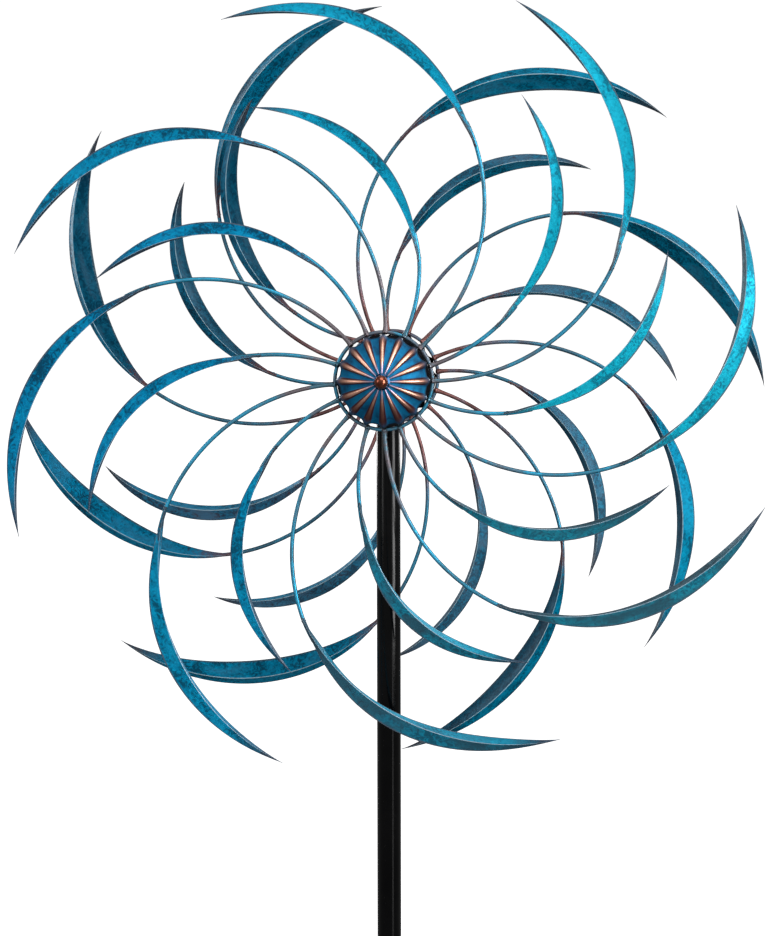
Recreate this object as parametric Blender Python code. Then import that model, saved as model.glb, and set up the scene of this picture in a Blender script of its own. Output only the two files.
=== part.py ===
"""Garden wind spinner: two wheels of creased crescent blades on a ground-staked pole.

Metres, +Z up. The origin is on the underside of the stake's step plate, at soil level,
on the pole's centreline. The axle lies along Y, and -Y is the front of the spinner.
"""

import math

import bmesh
import bpy
from mathutils import Matrix, Vector

# Overall layout
HUB_HEIGHT = 1.420
HOOP_OFFSET = 0.055  # from the pole's centreline to the plane of each wheel
GAP = 0.0003  # between pieces that touch

# Wheels: a wire hoop with long and short arms, which end in folded crescent blades
HOOP_RADIUS = 0.0375
HOOP_WIRE = 0.0015
ARM_WIRE = 0.0016
WIRE_SIDES = 6
BLADE_LAP = 0.024  # length of wire welded under a blade's root
BLADE_STEPS = 12
SHEET = 0.001
END_WIDTH = 0.12  # share of the full width left at root and tip
FLATTEN_SKEW = 1.25  # moves the flattest place towards the tip
FOLD = math.radians(74)  # angle between the two legs
SETTLE = 0.3  # share of the blade in which it turns from flat on its wire to its pitch

# A leg is the sheet on one side of the fold, here at the blade's widest point: the outer
# one reaches the crescent's convex edge and the inner one its concave edge.
LONG = {"length": 0.414, "blade": 0.245, "wire_steps": 10, "outer_leg": 0.0120, "inner_leg": 0.0190}
SHORT = {"length": 0.255, "blade": 0.196, "wire_steps": 5, "outer_leg": 0.0102, "inner_leg": 0.0150}

# Arms are bent and welded by hand, so each list gives one value per arm. In degrees:
# where it leaves the hoop, how far it leans from straight outwards there, how far it
# sweeps round, how its blade is pitched, and the twist that the pitch loses by the tip.
# Flatten is how far the middle of the blade's fold lies inside the arm's arc, and forward
# how far its tip stands in front of the wheel, both in millimetres. A bulge under 1 makes
# a ring's blades blunter towards their ends.
RINGS = {
    "front_long": {
        "wheel": "front", "arm": LONG, "bulge": 1.0,
        "leave": (0, 42, 88, 132, 184, 225, 271, 314),
        "lean": (0, 0, 0, 0, 0, 0, 0, 0),
        "sweep": (155, 158, 160, 156, 156, 156, 155, 159),
        "flatten": (5, 3, 4, 6, 5, 6, 6, 3),
        "forward": (0, 0, 0, 0, 0, 0, 0, 0),
        "pitch": (50, 52, 54, 54, 50, 46, 44, 44),
        "twist": (30, 25, 25, 22, 18, 50, 38, 35),
    },
    "front_short": {
        "wheel": "front", "arm": SHORT, "bulge": 1.0,
        "leave": (18, 65, 110, 161, 203, 251, 289, 337),
        "lean": (0, 0, 0, 0, 0, 0, 0, 0),
        "sweep": (106, 117, 117, 99, 114, 107, 118, 110),
        "flatten": (-1, 4, 2, -5, 1, -4, 2, 2),
        "forward": (0, 0, 0, 0, 0, 0, 0, 0),
        "pitch": (50, 52, 48, 52, 48, 44, 44, 48),
        "twist": (30, 20, 38, 25, 26, 50, 44, 38),
    },
    "rear_long": {
        "wheel": "rear", "arm": LONG, "bulge": 1.0,
        "leave": (24, 70, 114, 164, 210, 255, 294, 342),
        "lean": (0, 0, 0, 0, 0, 0, 0, 0),
        "sweep": (156, 157, 155, 159, 154, 156, 153, 155),
        "flatten": (7, 4, 2, 2, 2, 4, 3, 7),
        "forward": (0, 0, 0, 0, 0, 0, 0, 0),
        "pitch": (27, -3, -4, -4, -10, -4, -4, 8),
        "twist": (0, 0, 0, 0, 0, 0, 0, 0),
    },
    "rear_short": {
        "wheel": "rear", "arm": SHORT, "bulge": 0.8,
        "leave": (6, 49, 96, 130, 188, 228, 281, 320),
        "lean": (0, 0, 0, -41, 0, -19, 0, 0),
        "sweep": (119, 115, 115, 114, 118, 109, 115, 116),
        "flatten": (2, 2, -1, -3, -1, -3, 0, 0),
        "forward": (0, 0, 0, 20, 0, 0, 0, 0),
        "pitch": (22, 30, 12, 0, 8, 28, 32, 32),
        "twist": (0, 0, 0, 0, 0, 0, 0, 0),
    },
}

# Hub: distances are along the axle, from the pole's centreline outwards
TEE_HALF = 0.024
TEE_RADIUS = 0.011
PLUG_LENGTH = 0.045
SET_SCREW_RADIUS = 0.0025
SLOT_WIDTH = 0.0008
SLOT_DEPTH = 0.0012
AXLE_RADIUS = 0.004
AXLE_BORE = AXLE_RADIUS + GAP
AXLE_SHOULDER = 0.074
AXLE_END = 0.0825
THREAD_RADIUS = 0.003
RACE_START = 0.038
RACE_WIDTH = 0.007
INNER_RACE = 0.0061
OUTER_RACE = 0.0092
BEARING_RADIUS = 0.0110
BALL_PITCH = (INNER_RACE + OUTER_RACE) / 2
BALL_RADIUS = 0.00185
BALL_COUNT = 7
CAGE_HALF = 0.0008
HOUSING_RADIUS = 0.0135
HOUSING_END = 0.057
LIP_WIDTH = 0.002
PLATE_RADIUS = 0.033
PLATE_SHEET = 0.002
PLATE_POINTS = 40
TAB_COUNT = 4
SPACER_RADIUS = 0.007
DOME_RADIUS = 0.0362
DOME_HEIGHT = 0.0185
DOME_TOP = 0.0775
DOME_SAG = 0.0011  # how far the dome falls away within the standoff's radius
DOME_SHEET = 0.001
DOME_FLUTES = 16
DOME_SCALLOP = 0.0013
DOME_RIDGE = 0.0006
NUT_COLLAR_RADIUS = 0.0065
NUT_COLLAR_HEIGHT = 0.0015
NUT_BALL_RADIUS = 0.0053

# Pole and stake
POLE_RADIUS = 0.0095
POLE_BORE = 0.0083
POLE_JOINTS = (0.470, 0.935)
POLE_TOP = HUB_HEIGHT - 0.0183
SPIGOT_RADIUS = POLE_BORE - GAP
SPIGOT_BORE = 0.0068
SPIGOT_LENGTH = 0.050
SWAGE = 0.0015
PLATE_ARM = 0.085
PLATE_WIDTH = 0.030
PLATE_CHAMFER = 0.006
PLATE_THICKNESS = 0.005
PRONG_RADIUS = 0.004
PRONG_LENGTH = 0.190
PRONG_PITCH = 0.072
PRONG_POINT = 0.030
PRONG_SIDES = 12
SOCKET_RADIUS = 0.0125
SOCKET_BORE = POLE_RADIUS + GAP
SOCKET_TOP = 0.085
SOCKET_SCREW_HEIGHT = 0.066
THUMB_SCREW_RADIUS = 0.003
SCREW_HEAD_RADIUS = 0.005
SCREW_HEAD_HEIGHT = 0.005
SCREW_HEAD_GAP = 0.006
WING_SHEET = 0.0022
ROUND_SIDES = 16
POLE_SIDES = 24

# Finishes: display colour, roughness and how metallic it is
BRUSHED_BLUE = ((0.05, 0.50, 0.66), 0.38, 0.7)
BRUSHED_TEAL = ((0.04, 0.38, 0.50), 0.42, 0.7)
ANTIQUE_WIRE = ((0.24, 0.42, 0.46), 0.40, 0.7)
DOME_BLUE = ((0.05, 0.42, 0.66), 0.30, 0.8)
COPPER = ((0.72, 0.38, 0.24), 0.20, 1.0)
ZINC_STEEL = ((0.62, 0.63, 0.64), 0.35, 1.0)
BEARING_STEEL = ((0.70, 0.71, 0.72), 0.15, 1.0)
GLOSS_BLACK = ((0.03, 0.03, 0.035), 0.25, 0.0)


def srgb(red, green, blue):
    """A linear colour from its usual display values."""
    return tuple(((c + 0.055) / 1.055) ** 2.4 if c > 0.04 else c / 12.92 for c in (red, green, blue))


def make_material(name, colour, roughness, metallic):
    material = bpy.data.materials.new(name)
    material.use_nodes = True
    shader = material.node_tree.nodes["Principled BSDF"]
    shader.inputs["Base Color"].default_value = (*srgb(*colour), 1)
    shader.inputs["Roughness"].default_value = roughness
    shader.inputs["Metallic"].default_value = metallic
    material.diffuse_color = (*srgb(*colour), 1)
    return material


def make_object(name, mesh_builder, finish, parent):
    """An object from a bmesh, closed and facing out, at its parent's origin, with its own material."""
    bmesh.ops.remove_doubles(mesh_builder, verts=mesh_builder.verts, dist=1e-6)
    bmesh.ops.recalc_face_normals(mesh_builder, faces=mesh_builder.faces)
    mesh = bpy.data.meshes.new(name)
    mesh_builder.to_mesh(mesh)
    mesh_builder.free()
    mesh.shade_smooth()
    mesh.set_sharp_from_angle(angle=math.radians(35))
    mesh.materials.append(make_material(name, *finish))
    obj = bpy.data.objects.new(name, mesh)
    bpy.context.scene.collection.objects.link(obj)
    obj.parent = parent
    return obj


def make_empty(name, location, rotation=(0, 0, 0), parent=None):
    empty = bpy.data.objects.new(name, None)
    empty.location = location
    empty.rotation_euler = rotation
    empty.parent = parent
    bpy.context.scene.collection.objects.link(empty)
    return empty


def boolean(obj, other, operation):
    """Adds or cuts another object, which is then left out of the model."""
    modifier = obj.modifiers.new(other.name, "BOOLEAN")
    modifier.object = other
    modifier.operation = operation
    modifier.solver = "EXACT"
    other.hide_render = True
    other.display_type = "WIRE"


def turned(profile, sides=ROUND_SIDES):
    """A bmesh turned about local Z from (radius, height) points.

    The outline closes on itself, or along the axis where its ends have no radius.
    """
    builder = bmesh.new()
    points = [builder.verts.new((radius, 0, height)) for radius, height in profile]
    edges = [builder.edges.new(pair) for pair in zip(points, points[1:])]
    if profile[0][0] > 0:
        edges.append(builder.edges.new((points[-1], points[0])))
    bmesh.ops.spin(
        builder, geom=points + edges, cent=(0, 0, 0), axis=(0, 0, 1),
        angle=math.tau, steps=sides, use_merge=True,
    )
    return builder


def rod(radius, low, high, sides=ROUND_SIDES):
    return turned([(0, low), (radius, low), (radius, high), (0, high)], sides)


def tube(bore, radius, low, high, sides=ROUND_SIDES):
    return turned([(bore, low), (radius, low), (radius, high), (bore, high)], sides)


def slab(half_length, half_width, low, high):
    corners = [(-half_length, -half_width), (half_length, -half_width),
               (half_length, half_width), (-half_length, half_width)]
    return extruded(corners, low, high)


def extruded(outline, low, high):
    """A bmesh of a flat outline of (x, y) points, from one height to another."""
    builder = bmesh.new()
    face = builder.faces.new([builder.verts.new((x, y, low)) for x, y in outline])
    made = bmesh.ops.extrude_face_region(builder, geom=[face])["geom"]
    moved = [item for item in made if isinstance(item, bmesh.types.BMVert)]
    bmesh.ops.translate(builder, verts=moved, vec=(0, 0, high - low))
    return builder


def lofted(sections, closed=False):
    """A bmesh through sections of equal point count, capped unless it closes on itself."""
    builder = bmesh.new()
    rings = [[builder.verts.new(point) for point in section] for section in sections]
    pairs = list(zip(rings, rings[1:]))
    if closed:
        pairs.append((rings[-1], rings[0]))
    for first, second in pairs:
        for i in range(len(first)):
            j = (i + 1) % len(first)
            builder.faces.new((first[i], first[j], second[j], second[i]))
    if not closed:
        builder.faces.new(reversed(rings[0]))
        builder.faces.new(rings[-1])
    return builder


def ring_of(radius, sides):
    """(x, y) points evenly round a circle."""
    angles = [math.tau * i / sides for i in range(sides)]
    return [(radius * math.cos(angle), radius * math.sin(angle)) for angle in angles]


# ---------------------------------------------------------------- wheels

FORWARD = Vector((0, -1, 0))
WHEEL_TURN = {"front": 1, "rear": -1}  # anticlockwise or clockwise, seen from the front
WHEEL_SIDE = {"front": -1, "rear": 1}  # which way along Y the wheel stands off the pole


def arm_frame(ring, index, distance):
    """An arm's centre, the direction of its convex side and its run, at a distance along it.

    An arm follows one circular arc, which the blade at its end flattens a little.
    """
    arm = ring["arm"]
    turn = WHEEL_TURN[ring["wheel"]]
    leave = turn * math.radians(ring["leave"][index])
    heading = leave + math.radians(ring["lean"][index])
    sweep = math.radians(ring["sweep"][index])
    bend_radius = arm["length"] / sweep
    angle = distance / bend_radius
    share = max(1 - (arm["length"] - distance) / arm["blade"], 0)
    flatten = ring["flatten"][index] / 1000 * math.sin(math.pi * min(share, 1) ** FLATTEN_SKEW)

    def direction(bearing):
        return Vector((math.cos(bearing), 0, turn * math.sin(bearing)))

    start = HOOP_RADIUS * direction(leave) + Vector((0, WHEEL_SIDE[ring["wheel"]] * HOOP_OFFSET, 0))
    sideways = direction(heading + math.pi / 2)
    convex = direction(heading + angle - math.pi / 2)
    forward = ring["forward"][index] / 1000 * share**2 * FORWARD
    centre = start + bend_radius * (sideways + convex) - flatten * convex + forward
    return centre, convex, direction(heading + angle)


def wire_section(centre, across, radius):
    """A ring of points round a wire, in the plane of `across` and the axle."""
    return [centre + across * x + FORWARD * y for x, y in ring_of(radius, WIRE_SIDES)]


def blade_section(ring, index, share):
    """The folded sheet's outline at a share of the blade's length from its root."""
    arm = ring["arm"]
    distance = arm["length"] - arm["blade"] * (1 - share)
    wire, convex, _ = arm_frame(ring, index, distance)
    settled = math.sin(math.pi / 2 * min(share / SETTLE, 1))
    pitch = math.radians(ring["pitch"][index] * settled - ring["twist"][index] * share**3)
    width = max(max(math.sin(math.pi * share), 0) ** ring["bulge"], END_WIDTH)
    sheet = min(SHEET, 0.5 * arm["outer_leg"] * width)
    half = FOLD / 2
    # Directions in the section's plane, turned by the blade's pitch.
    inside = convex * math.sin(pitch) - FORWARD * math.cos(pitch)
    across = convex * math.cos(pitch) + FORWARD * math.sin(pitch)
    outer = across * math.sin(half) + inside * math.cos(half)
    inner = inside * math.cos(half) - across * math.sin(half)
    outer_back = inside * math.sin(half) - across * math.cos(half)
    inner_back = inside * math.sin(half) + across * math.cos(half)
    fold = wire - inside * (ARM_WIRE + 2 * GAP + SHEET) / math.sin(half)
    convex_edge = fold + outer * arm["outer_leg"] * width
    concave_edge = fold + inner * arm["inner_leg"] * width
    return [
        convex_edge,
        fold,
        concave_edge,
        concave_edge + inner_back * sheet,
        fold + inside * sheet / math.sin(half),
        convex_edge + outer_back * sheet,
    ]


def make_blades(name, ring, finish, parent):
    for index in range(len(ring["leave"])):
        sections = [blade_section(ring, index, step / BLADE_STEPS) for step in range(BLADE_STEPS + 1)]
        make_object(f"{name}_blade_{index + 1}", lofted(sections), finish, parent)


def make_wire_frame(wheel, parent):
    """The hoop and its sixteen arm wires, welded into one piece."""
    hoop_centre = Vector((0, WHEEL_SIDE[wheel] * HOOP_OFFSET, 0))
    hoop_sections = []
    for x, z in ring_of(1.0, 32):
        outwards = Vector((x, 0, z))
        hoop_sections.append(wire_section(hoop_centre + outwards * HOOP_RADIUS, outwards, HOOP_WIRE))
    frame = make_object(f"{wheel}_wire_frame", lofted(hoop_sections, closed=True), ANTIQUE_WIRE, parent)
    for name, ring in RINGS.items():
        if ring["wheel"] != wheel:
            continue
        wire_length = ring["arm"]["length"] - ring["arm"]["blade"] + BLADE_LAP
        steps = ring["arm"]["wire_steps"]
        for index in range(len(ring["leave"])):
            places = [arm_frame(ring, index, wire_length * step / steps) for step in range(steps + 1)]
            sections = [wire_section(centre, convex, ARM_WIRE) for centre, convex, _ in places]
            arm = make_object(f"{name}_wire_{index + 1}", lofted(sections), ANTIQUE_WIRE, parent)
            boolean(frame, arm, "UNION")


# ---------------------------------------------------------------- hub
#
# Each of these is built along local Z, which points outwards along the axle.


def make_hub_plate(name, parent):
    """Bearing housing, with a lip behind the race and a flange whose tabs reach the hoop."""
    bore = BEARING_RADIUS + GAP
    lip = RACE_START + RACE_WIDTH + GAP
    housing = turned(
        [
            (bore, RACE_START - GAP),
            (HOUSING_RADIUS, RACE_START - GAP),
            (HOUSING_RADIUS, HOUSING_END),
            (bore, HOUSING_END),
            (bore, lip + LIP_WIDTH),
            (OUTER_RACE, lip + LIP_WIDTH),
            (OUTER_RACE, lip),
            (bore, lip),
        ],
        POLE_SIDES,
    )
    plate = make_object(name, housing, ANTIQUE_WIRE, parent)
    tab_reach = HOOP_RADIUS - HOOP_WIRE - GAP
    spacing = math.tau / PLATE_POINTS
    outline = []
    for point in range(PLATE_POINTS):
        on_tab = point % (PLATE_POINTS // TAB_COUNT) < 3
        radius = tab_reach if on_tab else PLATE_RADIUS
        outline.append((radius * math.cos(point * spacing), radius * math.sin(point * spacing)))
    low, high = HOOP_OFFSET - PLATE_SHEET / 2, HOOP_OFFSET + PLATE_SHEET / 2
    flange = make_object(name + "_flange", extruded(outline, low, high), ANTIQUE_WIRE, parent)
    cut = rod((bore + HOUSING_RADIUS) / 2, low - PLATE_SHEET, high + PLATE_SHEET, POLE_SIDES)
    boolean(flange, make_object(name + "_bore", cut, ANTIQUE_WIRE, parent), "DIFFERENCE")
    boolean(plate, flange, "UNION")


def make_race(name, wall, track, parent):
    """A bearing race: a ring from its plain wall to its track, which the balls' groove runs round."""
    middle = RACE_START + RACE_WIDTH / 2
    groove = BALL_RADIUS + GAP
    facing = 1 if track > BALL_PITCH else -1
    reach = math.acos(abs(track - BALL_PITCH) / groove)
    profile = [(wall, RACE_START), (track, RACE_START)]
    for step in range(-2, 3):
        angle = reach * step / 2
        profile.append((BALL_PITCH + facing * groove * math.cos(angle), middle + groove * math.sin(angle)))
    profile += [(track, RACE_START + RACE_WIDTH), (wall, RACE_START + RACE_WIDTH)]
    make_object(name, turned(profile), BEARING_STEEL, parent)


def make_ball_cage(name, parent):
    """A narrow ring that carries the bearing's balls."""
    middle = RACE_START + RACE_WIDTH / 2
    ring = tube(BALL_PITCH - CAGE_HALF, BALL_PITCH + CAGE_HALF, middle - CAGE_HALF, middle + CAGE_HALF)
    cage = make_object(name, ring, BEARING_STEEL, parent)
    for index, (x, y) in enumerate(ring_of(BALL_PITCH, BALL_COUNT)):
        place = Matrix.Translation((x, y, middle))
        builder = bmesh.new()
        bmesh.ops.create_icosphere(builder, subdivisions=1, radius=BALL_RADIUS, matrix=place)
        boolean(cage, make_object(f"{name}_ball_{index + 1}", builder, BEARING_STEEL, parent), "UNION")


def dome_point(share, column, depth):
    """A point of the dome at a share of the way from its hole to its rim, on a ridge or in a valley."""
    curve = (DOME_RADIUS**2 + DOME_HEIGHT**2) / (2 * DOME_HEIGHT)
    ridge = -share if column % 2 else share
    hole = THREAD_RADIUS + GAP
    radius = hole + (DOME_RADIUS - DOME_SCALLOP - hole) * share
    height = DOME_TOP - curve + math.sqrt(curve**2 - radius**2) + DOME_RIDGE * ridge - depth
    angle = math.tau * column / (2 * DOME_FLUTES)
    radius += DOME_SCALLOP * ridge
    return (radius * math.cos(angle), radius * math.sin(angle), height)


def make_dome(name, parent):
    """A thin fluted cap with a scalloped rim, open on its inner side."""
    shares = (0, 0.3, 0.65, 1)
    sections = []
    for column in range(2 * DOME_FLUTES):
        outside = [dome_point(share, column, 0) for share in shares]
        inside = [dome_point(share, column, DOME_SHEET) for share in reversed(shares)]
        sections.append(outside + inside)
    make_object(name, lofted(sections, closed=True), DOME_BLUE, parent)


def make_ball_nut(name, parent):
    """A blind nut with a collar, a neck and a ball, with room for the axle's thread inside."""
    base = DOME_TOP + GAP
    ball_height = base + NUT_COLLAR_HEIGHT + NUT_BALL_RADIUS
    profile = [
        (0, AXLE_END + GAP),
        (THREAD_RADIUS + GAP, AXLE_END + GAP),
        (THREAD_RADIUS + GAP, base),
        (NUT_COLLAR_RADIUS, base),
        (NUT_COLLAR_RADIUS, base + NUT_COLLAR_HEIGHT),
    ]
    for degrees in (-50, -20, 10, 40, 65):
        angle = math.radians(degrees)
        ball_x, ball_z = NUT_BALL_RADIUS * math.cos(angle), NUT_BALL_RADIUS * math.sin(angle)
        profile.append((ball_x, ball_height + ball_z))
    profile.append((0, ball_height + NUT_BALL_RADIUS))
    make_object(name, turned(profile), COPPER, parent)


def make_hub(wheel, fixed, spinning, caged):
    """The bearing that a wheel turns on, and the dome over it, clamped to the axle by the ball nut."""
    race_end = RACE_START + RACE_WIDTH
    make_hub_plate(f"{wheel}_hub_plate", spinning)
    make_race(f"{wheel}_outer_race", BEARING_RADIUS, OUTER_RACE, spinning)
    make_race(f"{wheel}_inner_race", AXLE_BORE, INNER_RACE, fixed)
    make_ball_cage(f"{wheel}_ball_cage", caged)
    spacer = tube(AXLE_BORE, SPACER_RADIUS, TEE_HALF + GAP, RACE_START - GAP)
    make_object(f"{wheel}_spacer", spacer, ZINC_STEEL, fixed)
    standoff = tube(AXLE_BORE, SPACER_RADIUS, race_end + GAP, DOME_TOP - DOME_SHEET - GAP - DOME_SAG)
    make_object(f"{wheel}_standoff", standoff, ZINC_STEEL, fixed)
    make_dome(f"{wheel}_dome", fixed)
    make_ball_nut(f"{wheel}_ball_nut", fixed)


# ---------------------------------------------------------------- head, pole and stake


def make_axle(parent):
    """A rod along local Z, with a thread of smaller radius at each end."""
    profile = [
        (0, -AXLE_END),
        (THREAD_RADIUS, -AXLE_END),
        (THREAD_RADIUS, -AXLE_SHOULDER),
        (AXLE_RADIUS, -AXLE_SHOULDER),
        (AXLE_RADIUS, AXLE_SHOULDER),
        (THREAD_RADIUS, AXLE_SHOULDER),
        (THREAD_RADIUS, AXLE_END),
        (0, AXLE_END),
    ]
    make_object("axle", turned(profile), ZINC_STEEL, parent)


def make_head_tee(hub, axle_frame):
    """A sleeve across the top of the pole, on a plug that fits the pole's bore."""
    rim = POLE_TOP - HUB_HEIGHT
    plug = turned(
        [
            (0, rim - PLUG_LENGTH),
            (SPIGOT_RADIUS, rim - PLUG_LENGTH),
            (SPIGOT_RADIUS, rim + GAP),
            (POLE_RADIUS, rim + GAP),
            (POLE_RADIUS, 0),
            (0, 0),
        ],
        POLE_SIDES,
    )
    tee = make_object("head_tee", plug, GLOSS_BLACK, hub)
    sleeve = rod(TEE_RADIUS, -TEE_HALF, TEE_HALF, POLE_SIDES)
    boolean(tee, make_object("head_tee_sleeve", sleeve, GLOSS_BLACK, axle_frame), "UNION")
    bore = rod(AXLE_BORE, -2 * TEE_HALF, 2 * TEE_HALF)
    boolean(tee, make_object("head_tee_bore", bore, GLOSS_BLACK, axle_frame), "DIFFERENCE")
    screw_hole = rod(SET_SCREW_RADIUS + GAP, 0, 2 * TEE_RADIUS)
    boolean(tee, make_object("head_tee_screw_hole", screw_hole, GLOSS_BLACK, hub), "DIFFERENCE")


def make_head_screw(hub):
    """A grub screw from the top of the tee down onto the axle, with a driver slot."""
    top = TEE_RADIUS + SLOT_DEPTH / 2
    shank = rod(SET_SCREW_RADIUS, AXLE_RADIUS + GAP, top)
    screw = make_object("head_set_screw", shank, ZINC_STEEL, hub)
    slot = slab(2 * SET_SCREW_RADIUS, SLOT_WIDTH / 2, top - SLOT_DEPTH, top + SLOT_DEPTH)
    boolean(screw, make_object("head_set_screw_slot", slot, ZINC_STEEL, hub), "DIFFERENCE")


def make_pole(name, low, high, has_spigot, stake):
    """A tube, whose top may be drawn down to fit inside the next one."""
    profile = [(POLE_BORE, low), (POLE_RADIUS, low), (POLE_RADIUS, high)]
    if has_spigot:
        profile += [
            (SPIGOT_RADIUS, high + SWAGE),
            (SPIGOT_RADIUS, high + SPIGOT_LENGTH),
            (SPIGOT_BORE, high + SPIGOT_LENGTH),
            (SPIGOT_BORE, high - 2 * SWAGE),
            (POLE_BORE, high - 4 * SWAGE),
        ]
    else:
        profile.append((POLE_BORE, high))
    make_object(name, turned(profile, POLE_SIDES), GLOSS_BLACK, stake)


def make_ground_stake(stake):
    """A cross-shaped step plate with four pointed prongs welded beneath it."""
    half = PLATE_WIDTH / 2
    corners = (
        (half, -half),
        (PLATE_ARM - PLATE_CHAMFER, -half),
        (PLATE_ARM, PLATE_CHAMFER - half),
        (PLATE_ARM, half - PLATE_CHAMFER),
        (PLATE_ARM - PLATE_CHAMFER, half),
    )
    outline = []
    for quarter in range(4):
        turn = Matrix.Rotation(math.radians(90 * quarter), 2)
        outline += [turn @ Vector(corner) for corner in corners]
    plate = make_object("ground_stake", extruded(outline, 0, PLATE_THICKNESS), GLOSS_BLACK, stake)
    prong_profile = [
        (0, -PRONG_LENGTH),
        (PRONG_RADIUS, PRONG_POINT - PRONG_LENGTH),
        (PRONG_RADIUS, PLATE_THICKNESS / 2),
        (0, PLATE_THICKNESS / 2),
    ]
    for index, (x, y) in enumerate(ring_of(PRONG_PITCH, 4)):
        builder = turned(prong_profile, PRONG_SIDES)
        bmesh.ops.translate(builder, verts=builder.verts, vec=(x, y, 0))
        boolean(plate, make_object(f"prong_{index + 1}", builder, GLOSS_BLACK, stake), "UNION")


def make_pole_socket(stake, screw_frame):
    """The tube on the step plate that holds the pole, with a screw hole in its front."""
    walls = tube(SOCKET_BORE, SOCKET_RADIUS, PLATE_THICKNESS + GAP, SOCKET_TOP, POLE_SIDES)
    socket = make_object("pole_socket", walls, GLOSS_BLACK, stake)
    hole = rod(THUMB_SCREW_RADIUS + GAP, 0, 2 * SOCKET_RADIUS)
    boolean(socket, make_object("pole_socket_hole", hole, GLOSS_BLACK, screw_frame), "DIFFERENCE")


def make_thumb_screw(screw_frame):
    """A screw with a two-winged head that clamps the pole in its socket."""
    head = SOCKET_RADIUS + SCREW_HEAD_GAP
    shank = turned(
        [
            (0, POLE_RADIUS + GAP),
            (THUMB_SCREW_RADIUS, POLE_RADIUS + GAP),
            (THUMB_SCREW_RADIUS, head),
            (SCREW_HEAD_RADIUS, head),
            (SCREW_HEAD_RADIUS, head + SCREW_HEAD_HEIGHT),
            (0, head + SCREW_HEAD_HEIGHT),
        ]
    )
    screw = make_object("thumb_screw", shank, ZINC_STEEL, screw_frame)
    middle = head + SCREW_HEAD_HEIGHT / 2
    wings = slab(2 * SCREW_HEAD_RADIUS, WING_SHEET / 2, middle, middle + 2 * SCREW_HEAD_HEIGHT)
    boolean(screw, make_object("thumb_screw_wings", wings, ZINC_STEEL, screw_frame), "UNION")


def main():
    for obj in list(bpy.data.objects):
        bpy.data.objects.remove(obj)
    stake = make_empty("stake_frame", (0, 0, 0))
    hub = make_empty("hub_frame", (0, 0, HUB_HEIGHT), parent=stake)
    # Local +Z points outwards along the axle in these: forwards, then backwards.
    outwards = {
        "front": make_empty("front_outwards", (0, 0, 0), (math.radians(90), 0, 0), hub),
        "rear": make_empty("rear_outwards", (0, 0, 0), (math.radians(-90), 0, 0), hub),
    }
    for wheel, fixed in outwards.items():
        wheel_axis = make_empty(f"{wheel}_wheel_axis", (0, 0, 0), parent=hub)
        spinning = make_empty(f"{wheel}_wheel_outwards", (0, 0, 0), fixed.rotation_euler, wheel_axis)
        caged = make_empty(f"{wheel}_cage_axis", (0, 0, 0), fixed.rotation_euler, hub)
        make_wire_frame(wheel, wheel_axis)
        for name, ring in RINGS.items():
            if ring["wheel"] == wheel:
                make_blades(name, ring, BRUSHED_BLUE if wheel == "front" else BRUSHED_TEAL, wheel_axis)
        make_hub(wheel, fixed, spinning, caged)
    make_axle(outwards["front"])
    make_head_tee(hub, outwards["front"])
    make_head_screw(hub)
    foot = PLATE_THICKNESS + GAP
    first_joint, second_joint = POLE_JOINTS
    make_pole("lower_pole", foot, first_joint, True, stake)
    make_pole("middle_pole", first_joint + SWAGE + GAP, second_joint, True, stake)
    make_pole("upper_pole", second_joint + SWAGE + GAP, POLE_TOP, False, stake)
    make_ground_stake(stake)
    screw_frame = make_empty("screw_frame", (0, 0, SOCKET_SCREW_HEIGHT), (math.radians(90), 0, 0), stake)
    make_pole_socket(stake, screw_frame)
    make_thumb_screw(screw_frame)


main()
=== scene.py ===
"""Looks of the garden wind spinner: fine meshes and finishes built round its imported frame.

Metres, +Z up, in the frame of the CAD. The axle lies along Y and -Y is the front. The sizes
below are the CAD's own, and each fine piece stands for the plain node of the same size.
"""

import math
import random

import bmesh
import bpy
from mathutils import Matrix, Vector, noise


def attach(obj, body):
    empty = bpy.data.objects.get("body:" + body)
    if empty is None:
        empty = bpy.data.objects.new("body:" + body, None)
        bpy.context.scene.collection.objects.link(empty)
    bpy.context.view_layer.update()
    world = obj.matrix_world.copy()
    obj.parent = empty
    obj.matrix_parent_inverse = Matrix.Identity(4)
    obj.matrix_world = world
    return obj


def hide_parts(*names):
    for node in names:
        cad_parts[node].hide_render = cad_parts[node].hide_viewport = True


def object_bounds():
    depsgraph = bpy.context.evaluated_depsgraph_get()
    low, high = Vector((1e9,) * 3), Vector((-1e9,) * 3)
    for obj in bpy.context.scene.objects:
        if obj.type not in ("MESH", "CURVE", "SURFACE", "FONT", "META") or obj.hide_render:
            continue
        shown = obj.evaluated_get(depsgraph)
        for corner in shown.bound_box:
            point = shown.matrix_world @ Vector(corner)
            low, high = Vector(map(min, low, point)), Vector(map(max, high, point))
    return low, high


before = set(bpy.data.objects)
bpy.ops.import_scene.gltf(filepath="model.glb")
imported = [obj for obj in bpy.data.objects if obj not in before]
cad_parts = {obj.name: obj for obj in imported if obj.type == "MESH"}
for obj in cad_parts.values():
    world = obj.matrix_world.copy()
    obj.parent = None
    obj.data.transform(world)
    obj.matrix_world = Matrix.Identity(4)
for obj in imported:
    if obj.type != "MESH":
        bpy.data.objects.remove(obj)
cad_low, cad_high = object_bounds()

# Overall layout
FOOT = Vector((0, 0, 0))  # where the pole's centreline meets the step plate's underside
HUB = Vector((0, 0, 1.420))
HOOP_OFFSET = 0.055  # from the pole's centreline to the plane of each wheel
GAP = 0.0003  # between pieces that touch
FORWARD = Vector((0, -1, 0))
UP = Vector((0, 0, 1))
WHEEL_TURN = {"front": 1, "rear": -1}  # anticlockwise or clockwise, seen from the front
WHEEL_SIDE = {"front": -1, "rear": 1}  # which way along Y the wheel stands off the pole

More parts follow.
